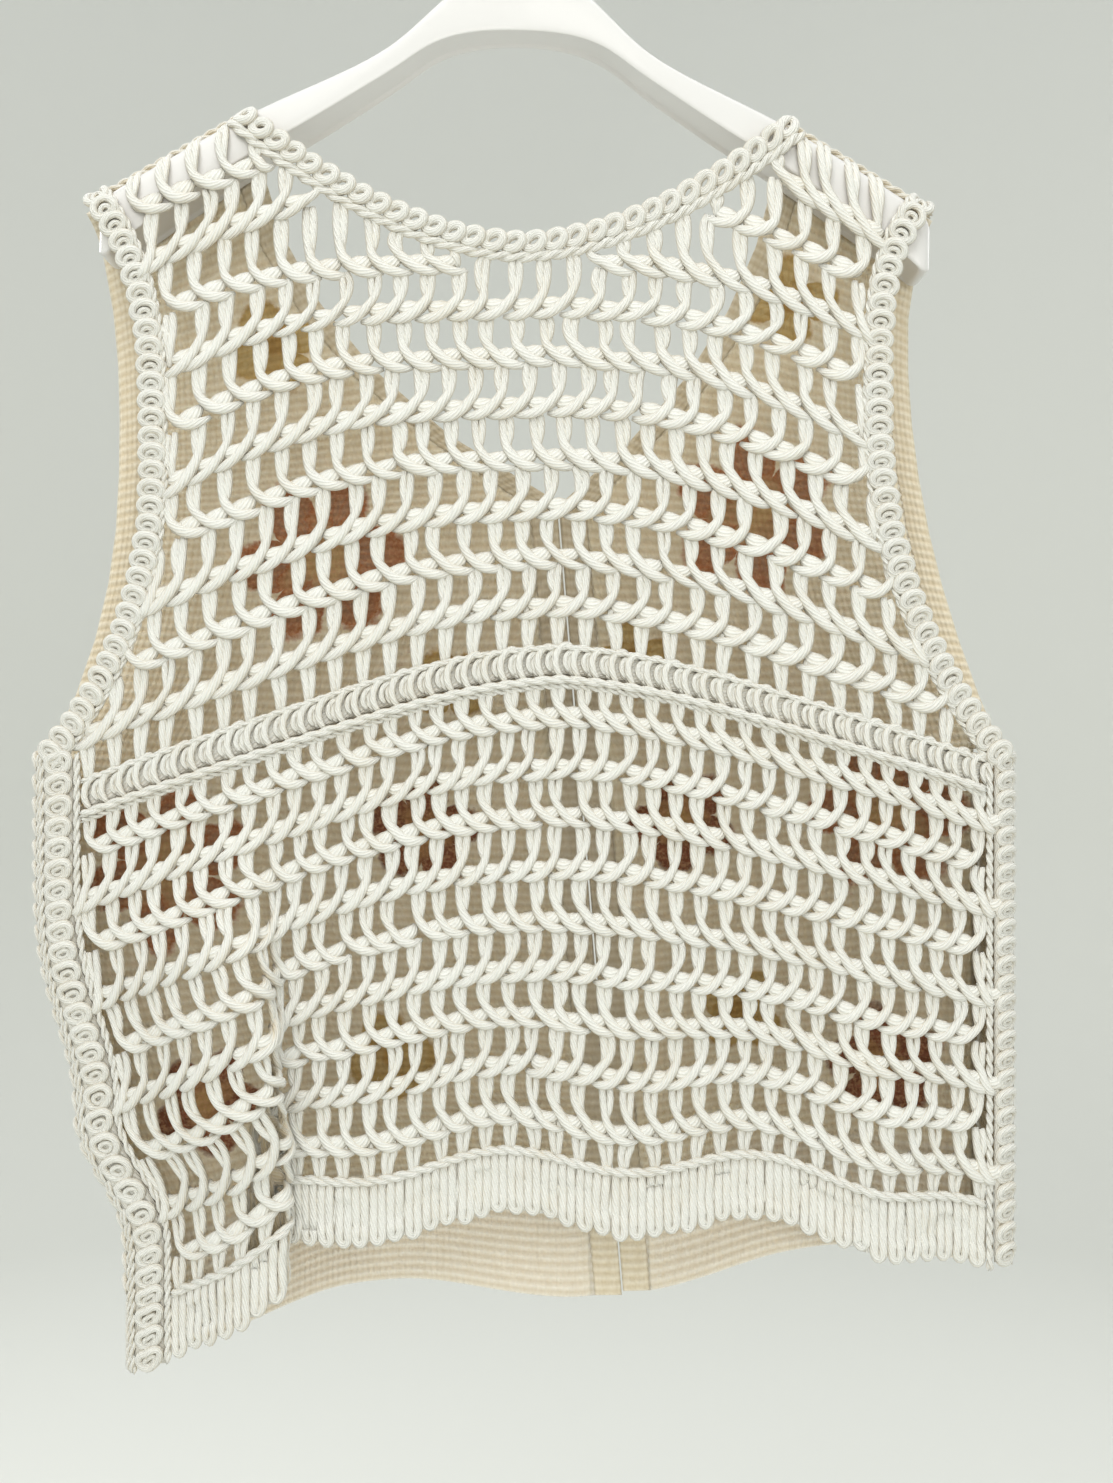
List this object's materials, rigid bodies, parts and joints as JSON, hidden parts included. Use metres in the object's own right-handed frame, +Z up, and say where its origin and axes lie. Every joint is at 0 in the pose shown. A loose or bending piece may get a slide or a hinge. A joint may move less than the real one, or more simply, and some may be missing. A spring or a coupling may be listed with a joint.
{
  "type": "crochet top on a hanger",
  "caption": "Sleeveless open-front crochet top with a lace back, ring edgings, a yoke band and a rib hem, hung on a broad plastic hanger.",
  "frame": {"origin": "the point inside the top of the hook's bend where it bears on a rod", "axes": "+Z up, the back of the garment faces -Y, its open front faces +Y, +X to the right as seen from behind the garment"},
  "size_m": [0.4738, 0.0612, 0.7516],
  "materials": {
    "cream_cotton_cord": "matt braided cotton cord, crocheted",
    "beige_cotton_knit": "close ribbed cotton knit with flower patches in rust, mauve and maroon",
    "cream_rib_band": "ribbed cotton edging",
    "white_plastic": "moulded, semi-gloss",
    "bright_wire": "bright plated wire"
  },
  "bodies": {
    "root": {"back_yoke": "cream_cotton_cord", "yoke_band": "cream_cotton_cord", "back_body": "cream_cotton_cord", "back_hem": "cream_cotton_cord", "neck_trim": "cream_cotton_cord", "armhole_trim_left": "cream_cotton_cord", "armhole_trim_right": "cream_cotton_cord", "side_strip_left": "cream_cotton_cord", "side_strip_right": "cream_cotton_cord", "shoulder_seam_left": "cream_cotton_cord", "shoulder_seam_right": "cream_cotton_cord", "front_left": "beige_cotton_knit", "front_right": "beige_cotton_knit", "front_band_left": "cream_rib_band", "front_band_right": "cream_rib_band", "front_armhole_band_left": "cream_rib_band", "front_armhole_band_right": "cream_rib_band", "hanger": "white_plastic", "hook": "bright_wire"}
  },
  "joints": []
}
